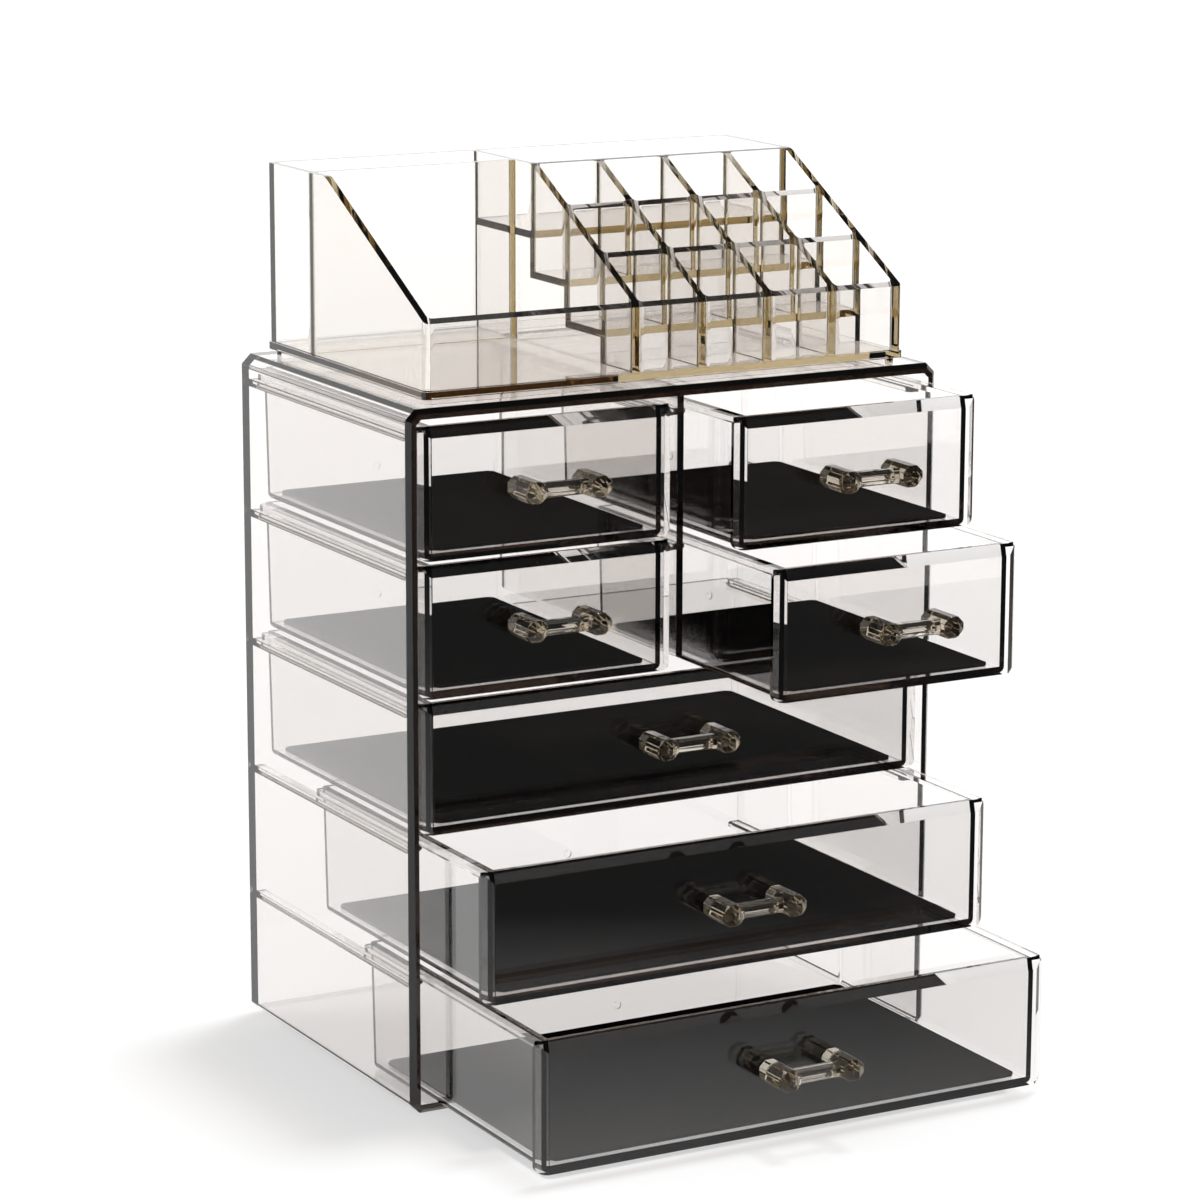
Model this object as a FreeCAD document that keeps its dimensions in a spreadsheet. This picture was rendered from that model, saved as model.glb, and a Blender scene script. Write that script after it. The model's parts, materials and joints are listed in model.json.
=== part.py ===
import FreeCAD, Part
import math
import os
import Sketcher
from types import SimpleNamespace

os.makedirs("parts", exist_ok=True)
doc = FreeCAD.newDocument("MakeupOrganizer")

# Driving sizes in millimetres. X runs to the right, the drawers open towards -Y, Z is up,
# and the origin is the centre of the underside of the case.
sizes = {
    # case
    "caseWidth": 241,
    "caseDepth": 153,
    "caseWall": 4,
    "rimBevel": 2,               # round the outside of the open front
    "topCornerChamfer": 4,       # along the two long top edges
    "baseCornerChamfer": 4.3,    # along the two long bottom edges
    "innerCornerChamfer": 2,
    "dividerWall": 3,            # tongue between the two columns of small drawers
    "dividerEndRadius": 1.2,
    "dividerEndLift": 4.7,       # tongue's lower end above the bottom of the second row
    # rails that the drawers hang on
    "railReach": 5,
    "railHeight": 2.7,
    "railEdgeChamfer": 0.8,
    "railEndRadius": 3,
    "railFrontGap": 0.4,         # behind a closed drawer's front plate
    # drawer fronts
    "frontHeight": 52.5,
    "frontThickness": 5,
    "frontCornerRadius": 3,
    "frontBevelWidth": 4.3,
    "frontBevelDepth": 3,
    "frontSideGap": 1.6,
    "rowGap": 2.2,
    "floorGap": 0.4,
    "topGap": 3.3,
    # drawer tubs
    "tubInset": 4,               # tub wall inside the side edge of the front plate
    "tubWall": 2.3,
    "tubFloor": 2.5,
    "tubOuterRadius": 2.5,
    "tubBackLean": 2.4,          # the back wall's foot ahead of its top
    "tubBackGap": 1,
    "flangeThickness": 2.4,
    "flangeEdgeInset": 0.2,
    "flangeEndRadius": 2,
    "slideGap": 0.3,             # flange above its rail
    "gateRadius": 1.6,           # moulding gate's dimple, outside the back wall
    "gateDepth": 0.6,
    "gateLift": 9,
    # liner mats
    "linerThickness": 1.3,
    "linerInset": 3,
    "linerCornerCut": 2,
    # handles
    "postAcross": 9,
    "postFootChamfer": 0.5,
    "postLength": 18.5,
    "postTipAcross": 6.4,
    "postTipLength": 2.7,
    "postSpacing": 28.3,
    "barAcross": 6,
    "barStandOff": 11.5,
    # tray on top
    "trayWidth": 216.5,
    "trayDepth": 142,
    "trayHeight": 79,
    "trayFrontHeight": 31.75,
    "trayShift": -1.8,
    "trayWall": 3,
    "trayFloor": 3,
    "trayCornerRadius": 2,
    "trayBendRadius": 9,
    "trayFootHeight": 2.5,
    "trayFootInset": 1.7,
    "trayFootWall": 2.5,
    "trayLip": 0.9,
    "cellWidth": 27.2,
    "cellDepth": 26.2,
    "cellRadius": 2,
    "tierRise": 16.3,
    "firstTierRise": 13,
    "leftBayDepth": 33.5,
    # how far each drawer stands open
    "openTopLeft": 0,
    "openTopRight": 39,
    "openSecondLeft": 0,
    "openSecondRight": 70,
    "openUpper": 0,
    "openMiddle": 52,
    "openLower": 95.5,
}

# name, row counted from the top, column (-1 left, 1 right, 0 full width), how far it stands open
drawers = [
    ("top_left", 1, -1, "openTopLeft"),
    ("top_right", 1, 1, "openTopRight"),
    ("second_left", 2, -1, "openSecondLeft"),
    ("second_right", 2, 1, "openSecondRight"),
    ("upper", 3, 0, "openUpper"),
    ("middle", 4, 0, "openMiddle"),
    ("lower", 5, 0, "openLower"),
]
rowCount = max(row for name, row, column, opened in drawers)
smallRowCount = max(row for name, row, column, opened in drawers if column)
cellColumns = 4
cellRows = 3
over = 1                         # how far a cut runs past the face it opens


class Length:
    """A value kept together with the spreadsheet expression that gives it."""

    def __init__(self, value, text):
        self.value = value
        self.text = text

    def combine(self, sign, other, value):
        return Length(value, f"({self.text} {sign} {other.text})")

    def __add__(self, other):
        other = length(other)
        return self.combine("+", other, self.value + other.value)

    def __sub__(self, other):
        other = length(other)
        return self.combine("-", other, self.value - other.value)

    def __mul__(self, other):
        other = length(other)
        return self.combine("*", other, self.value * other.value)

    def __truediv__(self, other):
        other = length(other)
        return self.combine("/", other, self.value / other.value)

    def __radd__(self, other):
        return length(other) + self

    def __rsub__(self, other):
        return length(other) - self

    def __rmul__(self, other):
        return length(other) * self

    def __neg__(self):
        return length(0) - self


def length(number):
    if isinstance(number, Length):
        return number
    return Length(float(number), f"({float(number)})")


def bind(feature, path, amount):
    """Ties a property of a feature to the spreadsheet."""
    feature.setExpression(path, length(amount).text)


sheet = doc.addObject("Spreadsheet::Sheet", "Sizes")
for line, (name, number) in enumerate(sizes.items(), start=1):
    sheet.set(f"A{line}", name)
    sheet.set(f"B{line}", str(number))
    sheet.setAlias(f"B{line}", name)
doc.recompute()
s = SimpleNamespace(**{name: Length(float(sizes[name]), f"Sizes.{name}") for name in sizes})


# ---- places that several pieces share ----

halfWidth = s.caseWidth / 2
halfDepth = s.caseDepth / 2
innerHalf = halfWidth - s.caseWall
dividerHalf = s.dividerWall / 2
rowPitch = s.frontHeight + s.rowGap
caseHeight = 2 * s.caseWall + s.floorGap + rowCount * rowPitch - s.rowGap + s.topGap
wideFront = 2 * innerHalf - 2 * s.frontSideGap
smallFront = innerHalf - dividerHalf - 2 * s.frontSideGap
smallCentre = dividerHalf + s.frontSideGap + smallFront / 2
tubDepth = s.caseDepth - s.caseWall - s.tubBackGap
tubStart = (s.frontBevelDepth + s.frontThickness) / 2


def rowBottom(row):
    return s.caseWall + s.floorGap + (rowCount - row) * rowPitch


def railBottom(row):
    return rowBottom(row) + s.frontHeight - s.flangeThickness - s.slideGap - s.railHeight


# ---- drawing helpers ----

def addBody(label, x=0, y=0, z=0):
    body = doc.addObject("PartDesign::Body", label)
    body.Label = label
    bind(body, "Placement.Base.x", x)
    bind(body, "Placement.Base.y", y)
    bind(body, "Placement.Base.z", z)
    return body


def addSketch(body, plane, label, lift=0):
    """A sketch on one of the body's own origin planes, moved along the plane's normal."""
    sketch = body.newObject("Sketcher::SketchObject", label)
    support = [entry for entry in body.Origin.OriginFeatures if entry.Role == plane]
    sketch.AttachmentSupport = [(support[0], "")]
    sketch.MapMode = "FlatFace"
    bind(sketch, "AttachmentOffset.Base.z", lift)
    return sketch


def unit(start, end):
    return (end - start).normalize()


def pin(sketch, geometry, x, y, point=1):
    """Fixes a point of a geometry (3 is a centre) by its distances from the sketch's origin."""
    for kind, amount in (("DistanceX", x), ("DistanceY", y)):
        constraint = Sketcher.Constraint(kind, -1, 1, geometry, point, length(amount).value)
        index = sketch.addConstraint(constraint)
        bind(sketch, f"Constraints[{index}]", amount)


def outline(sketch, corners):
    """Closes a wire through the corners, given counter-clockwise. A third item rounds a corner."""
    count = len(corners)
    points = [FreeCAD.Vector(length(c[0]).value, length(c[1]).value, 0) for c in corners]
    arrive = list(points)
    leave = list(points)
    rounds = {}
    for i, corner in enumerate(corners):
        if len(corner) == 2:
            continue
        back = unit(points[i], points[i - 1])
        ahead = unit(points[i], points[(i + 1) % count])
        radius = length(corner[2]).value
        setback = radius / math.tan(back.getAngle(ahead) / 2)
        arrive[i] = points[i] + back * setback
        leave[i] = points[i] + ahead * setback
        middle = unit(points[i], (arrive[i] + leave[i]) / 2)
        centre = points[i] + middle * math.hypot(setback, radius)
        left = back.cross(ahead).z < 0
        begin, end = (arrive[i], leave[i]) if left else (leave[i], arrive[i])
        angles = [math.atan2(p.y - centre.y, p.x - centre.x) for p in (begin, end)]
        circle = Part.Circle(centre, FreeCAD.Vector(0, 0, 1), radius)
        rounds[i] = (Part.ArcOfCircle(circle, angles[0], angles[1]), left)
    base = sketch.GeometryCount
    for i in range(count):
        sketch.addGeometry(Part.LineSegment(leave[i], arrive[(i + 1) % count]))
    for i, corner in enumerate(corners):
        before = base + (i - 1) % count
        after = base + i
        if i not in rounds:
            sketch.addConstraint(Sketcher.Constraint("Coincident", before, 2, after, 1))
            pin(sketch, after, corner[0], corner[1])
            continue
        shape, left = rounds[i]
        arc = sketch.addGeometry(shape)
        apex = sketch.addGeometry(Part.Point(points[i]), True)
        enter, depart = (1, 2) if left else (2, 1)
        sketch.addConstraint(Sketcher.Constraint("Tangent", before, 2, arc, enter))
        sketch.addConstraint(Sketcher.Constraint("Tangent", arc, depart, after, 1))
        sketch.addConstraint(Sketcher.Constraint("PointOnObject", apex, 1, before))
        sketch.addConstraint(Sketcher.Constraint("PointOnObject", apex, 1, after))
        pin(sketch, apex, corner[0], corner[1])
        index = sketch.addConstraint(Sketcher.Constraint("Radius", arc, length(corner[2]).value))
        bind(sketch, f"Constraints[{index}]", corner[2])


def box(sketch, left, front, right, back, radius=None):
    """A rectangle between two corners, rounded if a radius is given."""
    corners = [(left, front), (right, front), (right, back), (left, back)]
    if radius is not None:
        corners = [corner + (radius,) for corner in corners]
    outline(sketch, corners)


def octagon(sketch, across, x=0):
    """A regular octagon with flat sides up, down, left and right."""
    half = across / 2
    short = half * math.tan(math.pi / 8)
    signs = [(1, -1), (1, 1), (-1, 1), (-1, -1)]
    corners = []
    for right, up in signs:
        pair = [(x + right * half, up * short), (x + right * short, up * half)]
        corners += pair if right == up else pair[::-1]
    outline(sketch, corners)


def disc(sketch, radius, x, y):
    centre = FreeCAD.Vector(length(x).value, length(y).value, 0)
    circle = sketch.addGeometry(Part.Circle(centre, FreeCAD.Vector(0, 0, 1), length(radius).value))
    pin(sketch, circle, x, y, 3)
    index = sketch.addConstraint(Sketcher.Constraint("Radius", circle, length(radius).value))
    bind(sketch, f"Constraints[{index}]", radius)


def addPad(body, sketch, label, amount, symmetric=False, backwards=False):
    pad = body.newObject("PartDesign::Pad", label)
    pad.Profile = sketch
    bind(pad, "Length", amount)
    pad.SideType = "Symmetric" if symmetric else "One side"
    pad.Reversed = backwards
    return pad


def addPocket(body, sketch, label, amount, symmetric=False, backwards=False):
    """A blind cut against the sketch's normal, along it if backwards, or both ways."""
    pocket = body.newObject("PartDesign::Pocket", label)
    pocket.Profile = sketch
    bind(pocket, "Length", amount)
    pocket.SideType = "Symmetric" if symmetric else "One side"
    pocket.Reversed = backwards
    return pocket


def addRow(body, feature, label, axis, pitch, count, backwards=False):
    """Repeats a feature along one of the body's own axes."""
    pattern = body.newObject("PartDesign::LinearPattern", label)
    pattern.Originals = [feature]
    direction = [entry for entry in body.Origin.OriginFeatures if entry.Role == axis]
    pattern.Direction = (direction[0], [""])
    pattern.Mode = "Spacing"
    bind(pattern, "Offset", pitch)
    pattern.Occurrences = count
    pattern.Reversed = backwards
    body.Tip = pattern
    return pattern


def addEdgeFeature(body, kind, label, chosen):
    """A fillet or chamfer on the edges of the body's tip that the test picks."""
    doc.recompute()
    base = body.Tip
    names = [f"Edge{i}" for i, edge in enumerate(base.Shape.Edges, start=1) if chosen(edge)]
    feature = body.newObject(f"PartDesign::{kind}", label)
    feature.Base = (base, names)
    return feature


def isStraight(edge):
    ends = [vertex.Point for vertex in edge.Vertexes]
    return len(ends) == 2 and abs((ends[1] - ends[0]).Length - edge.Length) < 0.001


def runsAlong(edge, axis):
    """Whether a straight edge is parallel to X, Y or Z (0, 1 or 2)."""
    if not isStraight(edge):
        return False
    return abs(unit(edge.Vertexes[0].Point, edge.Vertexes[1].Point)[axis]) > 0.9999


def near(number, amount):
    return abs(number - length(amount).value) < 0.001


# ---- case ----

def makeCase():
    body = addBody("case_shell")
    front = addSketch(body, "XZ_Plane", "caseOutline")
    low = s.baseCornerChamfer
    high = s.topCornerChamfer
    outline(front, [
        (low - halfWidth, 0),
        (halfWidth - low, 0),
        (halfWidth, low),
        (halfWidth, caseHeight - high),
        (halfWidth - high, caseHeight),
        (high - halfWidth, caseHeight),
        (-halfWidth, caseHeight - high),
        (-halfWidth, low),
    ])
    addPad(body, front, "caseBlock", s.caseDepth, symmetric=True)

    # the room for the drawers, with the divider left standing as a tongue from the top
    ceiling = caseHeight - s.caseWall
    corner = s.innerCornerChamfer
    tongueEnd = rowBottom(smallRowCount) + s.dividerEndLift
    room = addSketch(body, "XZ_Plane", "roomOutline", halfDepth)
    outline(room, [
        (-innerHalf, s.caseWall),
        (innerHalf, s.caseWall),
        (innerHalf, ceiling - corner),
        (innerHalf - corner, ceiling),
        (dividerHalf, ceiling),
        (dividerHalf, tongueEnd, s.dividerEndRadius),
        (-dividerHalf, tongueEnd, s.dividerEndRadius),
        (-dividerHalf, ceiling),
        (corner - innerHalf, ceiling),
        (-innerHalf, ceiling - corner),
    ])
    addPocket(body, room, "room", s.caseDepth - s.caseWall)

    # rails on both side walls, and on both sides of the divider
    railFront = s.frontThickness + s.railFrontGap - halfDepth
    railBack = halfDepth - s.caseWall / 2
    wallTip = innerHalf - s.railReach
    dividerTip = dividerHalf + s.railReach
    inWall = innerHalf + s.caseWall / 2
    wallPlan = addSketch(body, "XY_Plane", "wallRailPlan", railBottom(rowCount))
    outline(wallPlan, [
        (-inWall, railFront),
        (-wallTip, railFront, s.railEndRadius),
        (-wallTip, railBack),
        (-inWall, railBack),
    ])
    outline(wallPlan, [
        (wallTip, railFront, s.railEndRadius),
        (inWall, railFront),
        (inWall, railBack),
        (wallTip, railBack),
    ])
    wallRail = addPad(body, wallPlan, "wallRail", s.railHeight)
    addRow(body, wallRail, "wallRails", "Z_Axis", rowPitch, rowCount)
    dividerPlan = addSketch(body, "XY_Plane", "dividerRailPlan", railBottom(smallRowCount))
    outline(dividerPlan, [
        (-dividerTip, railFront, s.railEndRadius),
        (dividerTip, railFront, s.railEndRadius),
        (dividerTip, railBack),
        (-dividerTip, railBack),
    ])
    dividerRail = addPad(body, dividerPlan, "dividerRail", s.railHeight)
    addRow(body, dividerRail, "dividerRails", "Z_Axis", rowPitch, smallRowCount)

    def isRailTip(edge):
        across = abs(edge.CenterOfMass.x)
        return runsAlong(edge, 1) and (near(across, wallTip) or near(across, dividerTip))

    easing = addEdgeFeature(body, "Chamfer", "railEdges", isRailTip)
    bind(easing, "Size", s.railEdgeChamfer)

    def isRim(edge):
        middle = edge.CenterOfMass
        inside = abs(middle.x) < innerHalf.value + 1 and 1 < middle.z < caseHeight.value - 1
        return near(edge.BoundBox.YMax, -halfDepth) and not inside

    bevel = addEdgeFeature(body, "Chamfer", "rimBevel", isRim)
    bind(bevel, "Size", s.rimBevel)
    return body


# ---- drawers ----

def addFrontPlate(body, half):
    """A thick plate, bevelled along its top and both sides."""
    top = s.frontHeight
    face = addSketch(body, "XZ_Plane", "plateOutline")
    box(face, -half, 0, half, top, s.frontCornerRadius)
    addPad(body, face, "plate", s.frontThickness, backwards=True)
    inner = top - s.frontBevelWidth
    section = addSketch(body, "YZ_Plane", "topBevelSection")
    outline(section, [
        (-over, inner),
        (0, inner),
        (s.frontBevelDepth, top),
        (s.frontBevelDepth, top + over),
        (-over, top + over),
    ])
    addPocket(body, section, "topBevel", 2 * half + 2 * over, symmetric=True)
    plan = addSketch(body, "XY_Plane", "sideBevelSection")
    inner = half - s.frontBevelWidth
    outline(plan, [
        (inner, -over),
        (half + over, -over),
        (half + over, s.frontBevelDepth),
        (half, s.frontBevelDepth),
        (inner, 0),
    ])
    outline(plan, [
        (-inner, -over),
        (-inner, 0),
        (-half, s.frontBevelDepth),
        (-half - over, s.frontBevelDepth),
        (-half - over, -over),
    ])
    addPocket(body, plan, "sideBevels", 2 * top + 2 * over, symmetric=True)


def roundTub(body, half, backFoot):
    """Rounds the long bottom edges, the foot of the back wall and its two upright corners."""
    def isCorner(edge):
        middle = edge.CenterOfMass
        atSide = near(abs(middle.x), half)
        low = runsAlong(edge, 1) and near(middle.z, 0) and atSide
        foot = runsAlong(edge, 0) and near(middle.z, 0) and near(middle.y, backFoot)
        upright = isStraight(edge) and atSide and middle.y > backFoot.value
        return low or foot or (upright and edge.BoundBox.ZLength > edge.BoundBox.YLength)

    rounding = addEdgeFeature(body, "Fillet", "tubCorners", isCorner)
    bind(rounding, "Radius", s.tubOuterRadius)


def makeTub(label, width, x, y, z):
    """One moulding: front plate, tub and the two flanges that hang on the rails."""
    body = addBody(label, x, y, z)
    half = width / 2
    top = s.frontHeight
    addFrontPlate(body, half)

    outerHalf = half - s.tubInset
    backFoot = tubDepth - s.tubBackLean
    side = addSketch(body, "YZ_Plane", "tubSide")
    outline(side, [(tubStart, 0), (backFoot, 0), (tubDepth, top), (tubStart, top)])
    addPad(body, side, "tubBlock", 2 * outerHalf, symmetric=True)
    roundTub(body, outerHalf, backFoot)

    innerHalfWidth = outerHalf - s.tubWall
    lean = s.tubBackLean / top
    innerFoot = tubDepth - s.tubWall - lean * (top - s.tubFloor)
    inside = addSketch(body, "YZ_Plane", "tubInside")
    outline(inside, [
        (s.frontThickness, s.tubFloor),
        (innerFoot, s.tubFloor),
        (tubDepth - s.tubWall + lean * over, top + over),
        (s.frontThickness, top + over),
    ])
    addPocket(body, inside, "tubRoom", 2 * innerHalfWidth, symmetric=True)

    tip = half - s.flangeEdgeInset
    root = outerHalf - s.tubWall / 2
    plan = addSketch(body, "XY_Plane", "flangePlan", top)
    flangeEnd = tubDepth - s.tubOuterRadius
    outline(plan, [(root, tubStart), (tip, tubStart), (tip, flangeEnd, s.flangeEndRadius), (root, flangeEnd)])
    outline(plan, [(-tip, tubStart), (-root, tubStart), (-root, flangeEnd), (-tip, flangeEnd, s.flangeEndRadius)])
    addPad(body, plan, "flanges", s.flangeThickness, backwards=True)

    gate = addSketch(body, "XZ_Plane", "gateOutline", -tubDepth)
    disc(gate, s.gateRadius, 0, s.gateLift)
    addPocket(body, gate, "gate", s.gateDepth + lean * (top - s.gateLift), backwards=True)
    return body


def makeLiner(label, width, x, y, z):
    """A thin mat on the floor of a drawer."""
    body = addBody(label, x, y, z)
    half = width / 2 - s.tubInset - s.tubWall - s.linerInset
    back = tubDepth - s.tubBackLean - s.tubWall - s.linerInset
    front = s.frontThickness + s.linerInset
    cut = s.linerCornerCut
    plan = addSketch(body, "XY_Plane", "linerPlan", s.tubFloor)
    outline(plan, [
        (cut - half, front),
        (half - cut, front),
        (half, front + cut),
        (half, back - cut),
        (half - cut, back),
        (cut - half, back),
        (-half, back - cut),
        (-half, front + cut),
    ])
    addPad(body, plan, "mat", s.linerThickness)
    return body


def makeHandle(label, x, y, z):
    """Two eight-sided posts, tapered at the tip, joined by an eight-sided bar."""
    body = addBody(label, x, y, z)
    reach = s.postSpacing / 2
    section = addSketch(body, "XZ_Plane", "postSection")
    octagon(section, s.postAcross, -reach)
    octagon(section, s.postAcross, reach)
    addPad(body, section, "posts", s.postLength)
    feet = addEdgeFeature(body, "Chamfer", "postFeet", lambda edge: near(edge.BoundBox.YMin, 0))
    bind(feet, "Size", s.postFootChamfer)
    tips = addEdgeFeature(body, "Chamfer", "postTips", lambda edge: near(edge.BoundBox.YMax, -s.postLength))
    tips.ChamferType = "Two distances"
    bind(tips, "Size", s.postTipLength)
    bind(tips, "Size2", (s.postAcross - s.postTipAcross) / 2)
    section = addSketch(body, "YZ_Plane", "barSection")
    octagon(section, s.barAcross, -s.barStandOff)
    addPad(body, section, "bar", s.postSpacing, symmetric=True)
    return body


# ---- tray ----

def makeTray():
    """A lift-off tray: an open compartment, two back bays and stepped cells behind a sloping edge."""
    body = addBody("top_tray", s.trayShift, 0, caseHeight)
    half = s.trayWidth / 2
    front = -s.trayDepth / 2
    back = s.trayDepth / 2
    wall = s.trayWall
    cellPitch = s.cellDepth + wall
    bend = front + cellRows * cellPitch
    side = addSketch(body, "YZ_Plane", "traySide")
    outline(side, [
        (front, s.trayFootHeight),
        (back, s.trayFootHeight),
        (back, s.trayHeight),
        (bend, s.trayHeight, s.trayBendRadius),
        (front, s.trayFrontHeight),
    ])
    addPad(body, side, "trayBlock", s.trayWidth, symmetric=True)

    def isUpright(edge):
        return runsAlong(edge, 2) and near(abs(edge.CenterOfMass.x), half)

    corners = addEdgeFeature(body, "Fillet", "trayCorners", isUpright)
    bind(corners, "Radius", s.trayCornerRadius)

    lip = addSketch(body, "XY_Plane", "lipPlan", s.trayFootHeight)
    box(lip, -half - s.trayLip, front - s.trayLip, half + s.trayLip, back + s.trayLip,
        s.trayCornerRadius + s.trayLip)
    addPad(body, lip, "lip", s.trayFloor)

    # columns of cells are counted from the right wall
    insideRight = half - wall
    cellsLeft = insideRight - cellColumns * s.cellWidth - (cellColumns - 1) * wall
    ground = s.trayFootHeight + s.trayFloor
    levels = [ground]
    for tier in range(cellRows):
        levels.append(ground + s.firstTierRise + tier * s.tierRise)
    for row in range(cellRows):
        near_ = front + wall + row * cellPitch
        plan = addSketch(body, "XY_Plane", f"cellPlan{row + 1}", levels[row])
        box(plan, insideRight - s.cellWidth, near_, insideRight, near_ + s.cellDepth, s.cellRadius)
        cell = addPocket(body, plan, f"cell{row + 1}", s.trayHeight, backwards=True)
        addRow(body, cell, f"cells{row + 1}", "X_Axis", s.cellWidth + wall, cellColumns, backwards=True)

    left = wall - half
    leftRight = cellsLeft - wall
    leftBayFront = back - wall - s.leftBayDepth
    plan = addSketch(body, "XY_Plane", "leftPlan", ground)
    box(plan, left, front + wall, leftRight, leftBayFront - wall, s.cellRadius)
    box(plan, left, leftBayFront, leftRight, back - wall, s.cellRadius)
    addPocket(body, plan, "leftRooms", s.trayHeight, backwards=True)
    plan = addSketch(body, "XY_Plane", "rightBayPlan", levels[cellRows])
    box(plan, cellsLeft, bend + wall, insideRight, back - wall, s.cellRadius)
    addPocket(body, plan, "rightBay", s.trayHeight, backwards=True)

    # the stepped floors are hollow underneath
    stairs = addSketch(body, "YZ_Plane", "underside", insideRight)
    profile = [(front + cellPitch + wall, 0), (back - wall, 0)]
    profile.append((back - wall, levels[cellRows] - s.trayFloor))
    for row in range(cellRows, 1, -1):
        riser = front + row * cellPitch + wall
        profile.append((riser, levels[row] - s.trayFloor))
        profile.append((riser, levels[row - 1] - s.trayFloor))
    profile.append((front + cellPitch + wall, levels[1] - s.trayFloor))
    outline(stairs, profile)
    addPocket(body, stairs, "hollow", insideRight - cellsLeft)

    foot = addSketch(body, "XY_Plane", "footPlan")
    inset = s.trayFootInset
    box(foot, inset - half, front + inset, half - inset, back - inset, s.trayCornerRadius)
    inset = s.trayFootInset + s.trayFootWall
    box(foot, inset - half, front + inset, half - inset, back - inset, s.trayCornerRadius)
    addPad(body, foot, "foot", s.trayFootHeight)
    return body


bodies = [makeCase()]
for name, row, column, opened in drawers:
    width = smallFront if column else wideFront
    kind = "small_drawer" if column else "wide_drawer"
    x = column * smallCentre
    y = -halfDepth - getattr(s, opened)
    z = rowBottom(row)
    bodies.append(makeTub(f"{kind}_{name}", width, x, y, z))
    bodies.append(makeHandle(f"handle_{name}", x, y, z + s.frontHeight / 2))
    bodies.append(makeLiner(f"liner_{name}", width, x, y, z))
bodies.append(makeTray())
doc.recompute()

for entry in doc.Objects:
    if "Invalid" in entry.State or "Error" in entry.State:
        raise RuntimeError(f"{entry.Name} failed: {entry.State}")
for body in bodies:
    shape = body.Shape
    if shape.isNull() or not shape.isValid() or len(shape.Solids) != 1:
        raise RuntimeError(f"{body.Label} isn't one valid solid")
for body in bodies:
    body.Shape.exportStep(f"parts/{body.Label}.step")
print(len(bodies), "nodes, case height", round(caseHeight.value, 2))
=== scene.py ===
import json
import math
import bpy
import bmesh
from mathutils import Matrix


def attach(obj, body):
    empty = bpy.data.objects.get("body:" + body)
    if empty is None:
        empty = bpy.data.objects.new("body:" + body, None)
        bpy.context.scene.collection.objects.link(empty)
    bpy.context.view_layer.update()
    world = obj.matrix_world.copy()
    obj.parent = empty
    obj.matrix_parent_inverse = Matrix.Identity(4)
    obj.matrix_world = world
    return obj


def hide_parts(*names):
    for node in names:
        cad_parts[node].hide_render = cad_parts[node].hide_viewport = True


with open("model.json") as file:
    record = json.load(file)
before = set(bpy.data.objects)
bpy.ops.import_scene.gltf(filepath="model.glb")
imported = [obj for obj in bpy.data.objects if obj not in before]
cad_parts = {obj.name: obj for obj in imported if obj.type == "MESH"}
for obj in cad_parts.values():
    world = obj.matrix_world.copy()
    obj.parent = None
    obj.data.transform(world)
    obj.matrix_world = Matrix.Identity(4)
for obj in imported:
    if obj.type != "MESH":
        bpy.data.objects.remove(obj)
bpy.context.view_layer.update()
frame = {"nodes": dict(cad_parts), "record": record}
scene = bpy.context.scene
bodies = frame["record"]["behaviour"]["bodies"]
bodyOf = {node: body for body, nodes in bodies.items() for node in nodes}
mm = 0.001
print("frame loaded:", len(frame["nodes"]), "nodes")


def newMaterial(name):
    material = bpy.data.materials.new(name)
    material.use_nodes = True
    nodes = material.node_tree.nodes
    nodes.clear()
    return material, nodes, material.node_tree.links


def feed(links, value, target):
    # a number is set on the input, and an output is joined to it
    if isinstance(value, (int, float)):
        target.default_value = value
    else:
        links.new(value, target)


def addMath(nodes, links, operation, *values):
    step = nodes.new("ShaderNodeMath")
    step.operation = operation
    for value, target in zip(values, step.inputs):
        feed(links, value, target)
    return step.outputs[0]


def addNoise(nodes, links, place, scale, detail):
    noise = nodes.new("ShaderNodeTexNoise")
    noise.inputs["Scale"].default_value = scale
    noise.inputs["Detail"].default_value = detail
    links.new(place.outputs["Object"], noise.inputs["Vector"])
    return noise.outputs["Fac"]


def addFade(nodes, links, measure, start, end, before, after, course="LINEAR"):
    # goes from one value to the other while the measure goes from start to end
    fade = nodes.new("ShaderNodeMapRange")
    fade.interpolation_type = course
    wanted = {"Value": measure, "From Min": start, "From Max": end, "To Min": before, "To Max": after}
    for name, value in wanted.items():
        feed(links, value, fade.inputs[name])
    return fade.outputs["Result"]


def blendShaders(nodes, links, share, usual, instead):
    blend = nodes.new("ShaderNodeMixShader")
    feed(links, share, blend.inputs["Fac"])
    links.new(usual.outputs[0], blend.inputs[1])
    links.new(instead.outputs[0], blend.inputs[2])
    return blend


# what every acrylic piece shares
acrylic = {
    "refraction": 1.491,
    "roughness": 0,                 # polished on every face
    "waveScale": 22,                # per metre, the slow waves of a moulded sheet
    "waveDetail": 1,
    "waveHeight": 1 * mm,
}


def makeWavesGroup():
    group = bpy.data.node_groups.new("mouldedWaves", "ShaderNodeTree")
    group.interface.new_socket("Sheet Waves", in_out="INPUT", socket_type="NodeSocketFloat")
    group.interface.new_socket("Height", in_out="OUTPUT", socket_type="NodeSocketFloat")
    nodes, links = group.nodes, group.links
    asked = nodes.new("NodeGroupInput").outputs["Sheet Waves"]
    given = nodes.new("NodeGroupOutput").inputs["Height"]
    place = nodes.new("ShaderNodeTexCoord")
    waves = addNoise(nodes, links, place, acrylic["waveScale"], acrylic["waveDetail"])
    links.new(addMath(nodes, links, "MULTIPLY", waves, asked), given)
    return group


mouldedWaves = makeWavesGroup()


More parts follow.
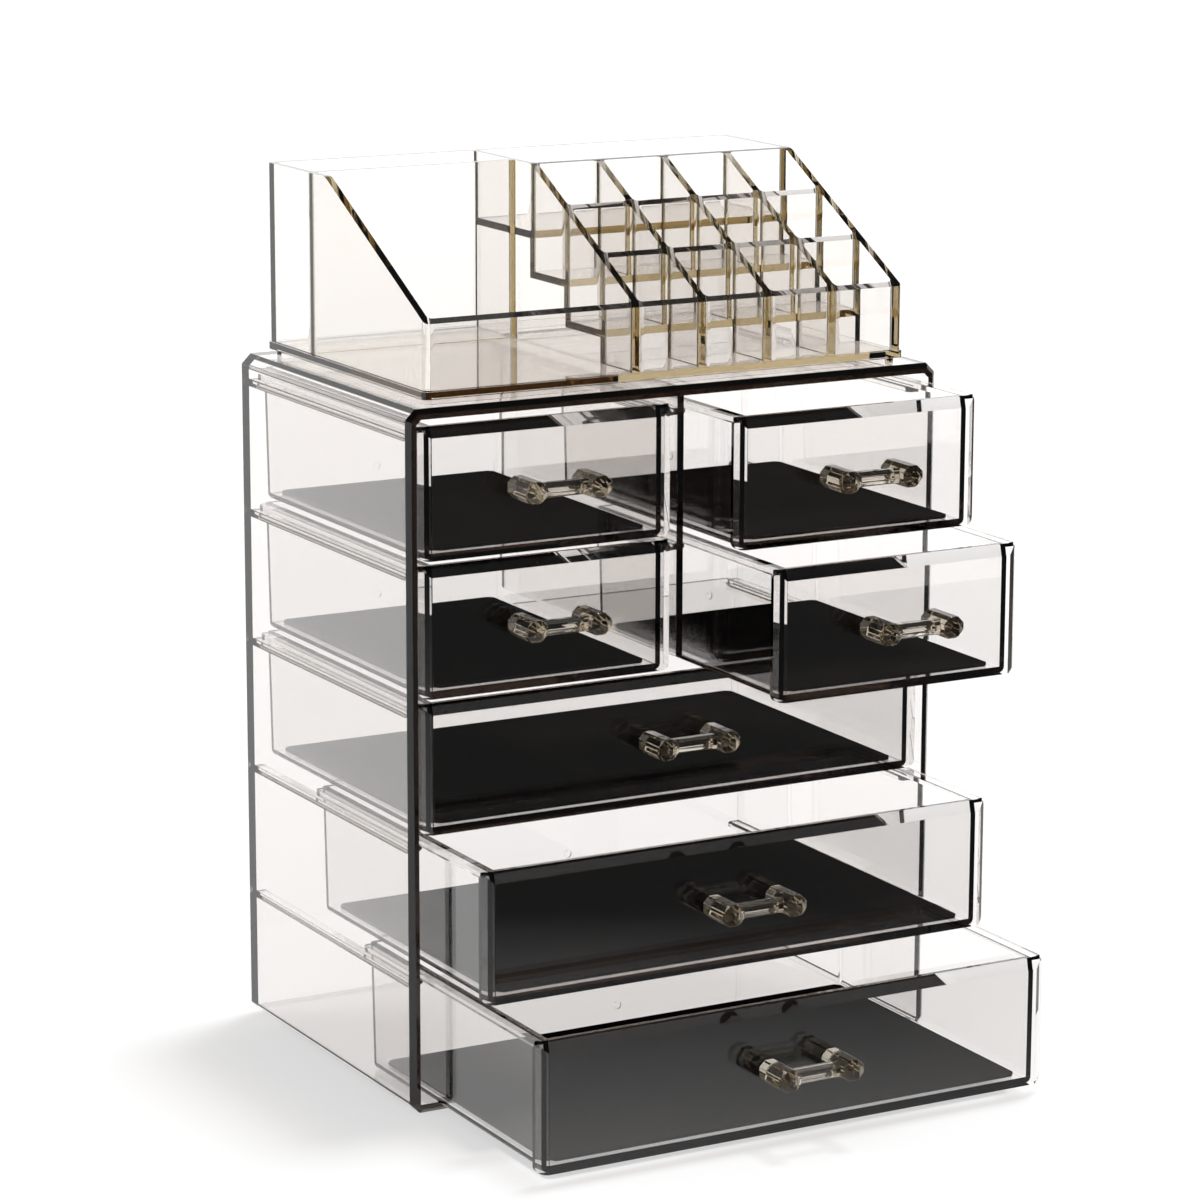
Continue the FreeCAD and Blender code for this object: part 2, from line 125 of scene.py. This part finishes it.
def makeAcrylic(name, look):
    material, nodes, links = newMaterial(name)
    waves = nodes.new("ShaderNodeGroup")
    waves.node_tree = mouldedWaves
    waves.inputs["Sheet Waves"].default_value = look["sheetWaves"]
    bump = nodes.new("ShaderNodeBump")
    bump.inputs["Strength"].default_value = look["waveStrength"]
    bump.inputs["Distance"].default_value = acrylic["waveHeight"]
    links.new(waves.outputs["Height"], bump.inputs["Height"])
    plastic = nodes.new("ShaderNodeBsdfPrincipled")
    plastic.inputs["Base Color"].default_value = look["tint"] + (1,)
    plastic.inputs["Transmission Weight"].default_value = 1
    plastic.inputs["IOR"].default_value = acrylic["refraction"]
    plastic.inputs["Roughness"].default_value = acrylic["roughness"]
    links.new(bump.outputs["Normal"], plastic.inputs["Normal"])
    # light for the mats and the floor passes straight through a sheet
    clear = nodes.new("ShaderNodeBsdfTransparent")
    clear.inputs["Color"].default_value = look["shadowTint"] + (1,)
    ray = nodes.new("ShaderNodeLightPath").outputs
    lightRay = addMath(nodes, links, "MAXIMUM", ray["Is Shadow Ray"], ray["Is Diffuse Ray"])
    # the plastic is faintly smoky, so what is seen darkens with its way through it
    body = nodes.new("ShaderNodeVolumeAbsorption")
    body.inputs["Color"].default_value = look["smoke"] + (1,)
    body.inputs["Density"].default_value = look["density"]
    output = nodes.new("ShaderNodeOutputMaterial")
    links.new(blendShaders(nodes, links, lightRay, plastic, clear).outputs[0], output.inputs["Surface"])
    links.new(body.outputs[0], output.inputs["Volume"])
    return material


# how the frame's solids are cleaned before they are dressed
solid = {
    "weld": 0.01 * mm,
    "flat": math.radians(0.5),      # faces that turn less than this become one
}


def copySolid(node, pieceName, look, reshape=None):
    mesh = frame["nodes"][node].data.copy()
    mesh.name = pieceName
    piece = bpy.data.objects.new(pieceName, mesh)
    scene.collection.objects.link(piece)
    shape = bmesh.new()
    shape.from_mesh(mesh)
    bmesh.ops.remove_doubles(shape, verts=shape.verts, dist=solid["weld"])
    bmesh.ops.dissolve_limit(shape, angle_limit=solid["flat"], verts=shape.verts, edges=shape.edges)
    if reshape:
        reshape(shape)
    shape.to_mesh(mesh)
    shape.free()
    if "custom_normal" in mesh.attributes:
        mesh.attributes.remove(mesh.attributes["custom_normal"])
    mesh.shade_smooth()
    mesh.set_sharp_from_angle(angle=look["sharp"])
    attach(piece, bodyOf[node])
    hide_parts(node)
    return piece


def softenEdges(piece, look):
    bevel = piece.modifiers.new("softEdges", "BEVEL")
    bevel.width = look["edge"]
    bevel.segments = look["edgeSteps"]
    bevel.limit_method = "ANGLE"
    bevel.angle_limit = look["sharp"]
    bevel.use_clamp_overlap = True
    bevel.harden_normals = True     # the flats stay flat and only the bevel turns
    weighted = piece.modifiers.new("trueFlats", "WEIGHTED_NORMAL")
    weighted.keep_sharp = True


def dress(piece, material):
    piece.data.materials.clear()
    piece.data.materials.append(material)


def finishAcrylic(piece, look, material):
    dress(piece, material)
    softenEdges(piece, look)


case = {
    "sheetWaves": 0.1,
    "waveStrength": 0.02,
    "shadowTint": (0.945, 0.945, 0.945),
    "tint": (1, 1, 1),
    "smoke": (0.2, 0.08, 0),        # blue is lost first on a long way, so the rims go brown, then black
    "density": 33,                  # per metre
    "sharp": math.radians(25),      # a turn sharper than this is an edge
    "edge": 0.25 * mm,
    "edgeSteps": 2,
}


def makeCase():
    piece = copySolid("case_shell", "smokyCase", case)
    finishAcrylic(piece, case, makeAcrylic("caseAcrylic", case))


makeCase()
print("case made")

drawer = {
    "sheetWaves": 0.1,
    "waveStrength": 0.02,
    "shadowTint": (0.945, 0.945, 0.945),
    "tint": (1, 1, 1),
    "smoke": (0.2, 0.08, 0),
    "density": 30,                  # per metre
    "sharp": math.radians(25),
    "edge": 0.25 * mm,
    "edgeSteps": 2,
}
handle = {
    "sheetWaves": 0.1,
    "waveStrength": 0.02,
    "shadowTint": (0.945, 0.945, 0.945),
    "tint": (1, 1, 1),
    "smoke": (0.4, 0.27, 0),
    "density": 58,                  # per metre
    "sharp": math.radians(12),      # low enough to keep the facets of the posts
    "edge": 0.15 * mm,
    "edgeSteps": 1,
    "glueGap": 0.05 * mm,
}
mat = {
    "sharp": math.radians(25),
    "dark": (0.003, 0.0026, 0.0026),
    "pale": (0.02, 0.0175, 0.0165),
    "roughness": 0.92,
    "gloss": 0,
    "pitch": 1.1 * mm,              # between the threads of the net that the foam is cast on
    "thread": 0.34,                 # their share of the pitch
    "netShare": 0.25,               # how much the threads add to the foam's own unevenness
    "netHeight": 0.12 * mm,
    "grain": 900,                   # per metre, the pores of the foam
    "grainDetail": 2,
    "wear": 45,                     # per metre, the rubbed patches
    "wearDetail": 5,
    "lift": 0.05 * mm,
}


def makeMatMaterial():
    # soft black foam cast on a fine net, a little paler where it has been rubbed
    material, nodes, links = newMaterial("matFoam")
    place = nodes.new("ShaderNodeTexCoord")
    apart = nodes.new("ShaderNodeSeparateXYZ")
    links.new(place.outputs["Object"], apart.inputs[0])
    threads = []
    for axis in ("X", "Y"):
        fromThread = addMath(nodes, links, "PINGPONG", apart.outputs[axis], mat["pitch"] / 2)
        threads.append(addFade(nodes, links, fromThread, 0, mat["pitch"] * mat["thread"], 1, 0, "SMOOTHSTEP"))
    net = addMath(nodes, links, "MAXIMUM", *threads)
    grain = addNoise(nodes, links, place, mat["grain"], mat["grainDetail"])
    wear = addNoise(nodes, links, place, mat["wear"], mat["wearDetail"])
    rubbed = addMath(nodes, links, "MULTIPLY", wear, grain)
    raised = addMath(nodes, links, "MULTIPLY_ADD", net, mat["netShare"], rubbed)
    shade = nodes.new("ShaderNodeMix")
    shade.data_type = "RGBA"
    shade.inputs["A"].default_value = mat["dark"] + (1,)
    shade.inputs["B"].default_value = mat["pale"] + (1,)
    links.new(raised, shade.inputs["Factor"])
    bump = nodes.new("ShaderNodeBump")
    bump.inputs["Distance"].default_value = mat["netHeight"]
    links.new(raised, bump.inputs["Height"])
    foam = nodes.new("ShaderNodeBsdfPrincipled")
    foam.inputs["Roughness"].default_value = mat["roughness"]
    foam.inputs["Specular IOR Level"].default_value = mat["gloss"]
    links.new(shade.outputs["Result"], foam.inputs["Base Color"])
    links.new(bump.outputs["Normal"], foam.inputs["Normal"])
    output = nodes.new("ShaderNodeOutputMaterial")
    links.new(foam.outputs[0], output.inputs["Surface"])
    return material


def liftFeet(shape):
    # the posts stand a hair off the front plate, so the two sheets don't share a face
    back = max(vertex.co.y for vertex in shape.verts)
    for vertex in shape.verts:
        if vertex.co.y > back - handle["glueGap"]:
            vertex.co.y -= handle["glueGap"]


def liftUnderside(shape):
    # clear of the sheet that it lies on, for the same reason
    low = min(vertex.co.z for vertex in shape.verts)
    for vertex in shape.verts:
        if vertex.co.z < low + mat["lift"]:
            vertex.co.z += mat["lift"]


def makeDrawers():
    tubAcrylic = makeAcrylic("drawerAcrylic", drawer)
    handleAcrylic = makeAcrylic("handleAcrylic", handle)
    matFoam = makeMatMaterial()
    for node in sorted(frame["nodes"]):
        if "_drawer_" in node:
            tub = copySolid(node, node.replace("drawer", "tub"), drawer)
            finishAcrylic(tub, drawer, tubAcrylic)
        elif node.startswith("handle_"):
            pull = copySolid(node, node.replace("handle", "pull"), handle, liftFeet)
            finishAcrylic(pull, handle, handleAcrylic)
        elif node.startswith("liner_"):
            pad = copySolid(node, node.replace("liner", "mat"), mat, liftUnderside)
            dress(pad, matFoam)


makeDrawers()
print("drawers made")

tray = {
    "sheetWaves": 0.1,
    "waveStrength": 0.02,
    "shadowTint": (0.945, 0.945, 0.945),
    "tint": (0.958, 0.962, 1),      # keeps the sheets neutral under the stronger smoke
    "smoke": (0.5, 0.36, 0),        # olive along the steps
    "density": 46,                  # per metre
    "sharp": math.radians(25),
    "edge": 0.25 * mm,
    "edgeSteps": 2,
}


def makeTray():
    piece = copySolid("top_tray", "steppedTray", tray, liftUnderside)
    finishAcrylic(piece, tray, makeAcrylic("trayAcrylic", tray))


makeTray()
print("tray made")

studio = {
    "floorDrop": 0.3 * mm,
    "floorReach": 60,               # metres, past every view's horizon
    "floorGlow": 0.55,              # share of the floor's white that no shadow takes away
    "floorPale": 0.8,               # as a source of light for the mats
    "skyFill": 0.54,
    "lampStrength": 1.9,
    "lampSpread": 9,                # degrees
    "lampTilt": 14,                 # degrees from straight down
    "lampTurn": 113,                # and about the vertical
    # painted glow: seen through the sheets, the floor is brighter than white, more so further from the part
    "whiteReach": (0.2, 2.5),       # between these metres from the part, the floor behind the sheets
    "sheetWhite": (1.15, 1.49),     # goes from the first of these whites to the second
    # painted reflection: as the sheets mirror it, the floor is painted white near the part and dark further
    # in front, in place of a dim room
    "paintedReflectionWay": (-0.5, 1, 0),    # the way from the painted dark of a room to the painted white of a tabletop, on the floor as the sheets mirror it
    "paintedReflectionNear": -0.12,             # metres along it, where the painted reflection starts to dim
    "paintedReflectionFar": -0.43,
    "paintedReflectionWhite": 1.25,
    "paintedReflectionDark": 0.12,
    "ceilingUp": (0, -0.4, 1),      # the dark ceiling comes lower towards the front
    "ceilingStart": 0,              # heights of the sky where it darkens in the sheets
    "ceilingFull": 0.35,
    "ceilingWhite": 0.08,
    "bounces": 32,                  # a look into the stack crosses dozens of sheets
    "clearBounces": 48,
    "mirrorBounces": 12,
}
lens = {
    "place": (-0.84306, -1.533149, 0.571177),
    "turn": -28.981,                # degrees
    "pitch": -12.555,
    "roll": 0.153,
    "focalPixels": 4323.7,
    "framePixels": 1200,
    "sensor": 36,
    "nearest": 0.05,                # metres
    "farthest": 200,
}


def whiteToTheEye(nodes, links):
    # 1 for the rays that see the studio directly or in a sheet, 0 for the light that falls on things
    ray = nodes.new("ShaderNodeLightPath").outputs
    inSheet = addMath(nodes, links, "MAXIMUM", ray["Is Glossy Ray"], ray["Is Transmission Ray"])
    return addMath(nodes, links, "MAXIMUM", ray["Is Camera Ray"], inSheet)


def pickLevel(nodes, links, share, usual, instead):
    pick = nodes.new("ShaderNodeMix")
    for name, value in (("Factor", share), ("A", usual), ("B", instead)):
        feed(links, value, pick.inputs[name])
    return pick.outputs["Result"]


def measureAlong(nodes, links, place, way):
    along = nodes.new("ShaderNodeVectorMath")
    along.operation = "DOT_PRODUCT"
    along.inputs[1].default_value = way
    links.new(place, along.inputs[0])
    return along.outputs["Value"]


def makeSky():
    world = bpy.data.worlds.new("studioSky")
    world.use_nodes = True
    nodes, links = world.node_tree.nodes, world.node_tree.links
    nodes.clear()
    fill = nodes.new("ShaderNodeBackground")
    fill.inputs["Color"].default_value = (1, 1, 1, 1)
    fill.inputs["Strength"].default_value = studio["skyFill"]
    white = nodes.new("ShaderNodeBackground")
    white.inputs["Color"].default_value = (1, 1, 1, 1)
    place = nodes.new("ShaderNodeTexCoord")
    height = measureAlong(nodes, links, place.outputs["Generated"], studio["ceilingUp"])
    ceiling = addFade(nodes, links, height, studio["ceilingStart"], studio["ceilingFull"],
                      studio["sheetWhite"][1], studio["ceilingWhite"])
    ray = nodes.new("ShaderNodeLightPath").outputs
    links.new(pickLevel(nodes, links, ray["Is Camera Ray"], ceiling, 1), white.inputs["Strength"])
    output = nodes.new("ShaderNodeOutputWorld")
    seen = blendShaders(nodes, links, whiteToTheEye(nodes, links), fill, white)
    links.new(seen.outputs[0], output.inputs["Surface"])
    scene.world = world


def makePaper():
    # white to the camera; to the sheets, graded whites painted on the floor: behind the part a painted glow
    # brighter than white, in front of it a painted reflection that dims from white to the dark of a room
    material, nodes, links = newMaterial("floorPaper")
    place = nodes.new("ShaderNodeTexCoord").outputs["Object"]
    # painted reflection: only as the sheets mirror it, the floor is painted white near the part and dark
    # further in front
    paintedMirrorLevel = addFade(nodes, links, measureAlong(nodes, links, place, studio["paintedReflectionWay"]),
                    studio["paintedReflectionNear"], studio["paintedReflectionFar"], studio["paintedReflectionWhite"], studio["paintedReflectionDark"])
    away = nodes.new("ShaderNodeVectorMath")
    away.operation = "LENGTH"
    links.new(place, away.inputs[0])
    # painted glow: seen through the sheets, the floor is brighter than white, more so further from the part
    paintedBackdropGlow = addFade(nodes, links, away.outputs["Value"], *studio["whiteReach"], *studio["sheetWhite"])
    ray = nodes.new("ShaderNodeLightPath").outputs
    mirrored = addMath(nodes, links, "MINIMUM", ray["Glossy Depth"], 1)     # inside a sheet or off it
    level = pickLevel(nodes, links, mirrored, paintedBackdropGlow, paintedMirrorLevel)
    level = pickLevel(nodes, links, ray["Is Camera Ray"], level, 1)
    paper = nodes.new("ShaderNodeBsdfDiffuse")
    links.new(level, paper.inputs["Color"])
    glow = nodes.new("ShaderNodeEmission")
    links.new(level, glow.inputs["Strength"])
    pale = nodes.new("ShaderNodeBsdfDiffuse")
    pale.inputs["Color"].default_value = (studio["floorPale"],) * 3 + (1,)
    shown = blendShaders(nodes, links, studio["floorGlow"], paper, glow)
    output = nodes.new("ShaderNodeOutputMaterial")
    seen = blendShaders(nodes, links, whiteToTheEye(nodes, links), pale, shown)
    links.new(seen.outputs[0], output.inputs["Surface"])
    return material


def makeFloor():
    reach = studio["floorReach"]
    mesh = bpy.data.meshes.new("studioFloor")
    corners = [(-reach, -reach), (reach, -reach), (reach, reach), (-reach, reach)]
    mesh.from_pydata([(x, y, -studio["floorDrop"]) for x, y in corners], [], [(0, 1, 2, 3)])
    floor = bpy.data.objects.new("studioFloor", mesh)
    scene.collection.objects.link(floor)
    dress(floor, makePaper())


def makeLamp():
    light = bpy.data.lights.new("softTop", "SUN")
    light.energy = studio["lampStrength"]
    light.angle = math.radians(studio["lampSpread"])
    lamp = bpy.data.objects.new("softTop", light)
    turn = Matrix.Rotation(math.radians(studio["lampTurn"]), 4, "Z")
    lamp.matrix_world = turn @ Matrix.Rotation(math.radians(studio["lampTilt"]), 4, "X")
    scene.collection.objects.link(lamp)


def makeCamera():
    data = bpy.data.cameras.new("viewer")
    data.sensor_width = lens["sensor"]
    data.lens = lens["focalPixels"] / lens["framePixels"] * lens["sensor"]
    data.clip_start = lens["nearest"]
    data.clip_end = lens["farthest"]
    camera = bpy.data.objects.new("viewer", data)
    turn = Matrix.Rotation(math.radians(lens["turn"]), 4, "Z")
    pitch = Matrix.Rotation(math.radians(90 + lens["pitch"]), 4, "X")
    roll = Matrix.Rotation(math.radians(lens["roll"]), 4, "Z")
    camera.matrix_world = Matrix.Translation(lens["place"]) @ turn @ pitch @ roll
    scene.collection.objects.link(camera)
    scene.camera = camera


makeSky()
makeFloor()
makeLamp()
makeCamera()
scene.view_settings.view_transform = "Standard"
scene.cycles.max_bounces = studio["bounces"]
scene.cycles.transmission_bounces = studio["bounces"]
scene.cycles.transparent_max_bounces = studio["clearBounces"]
scene.cycles.glossy_bounces = studio["mirrorBounces"]
print("studio made")
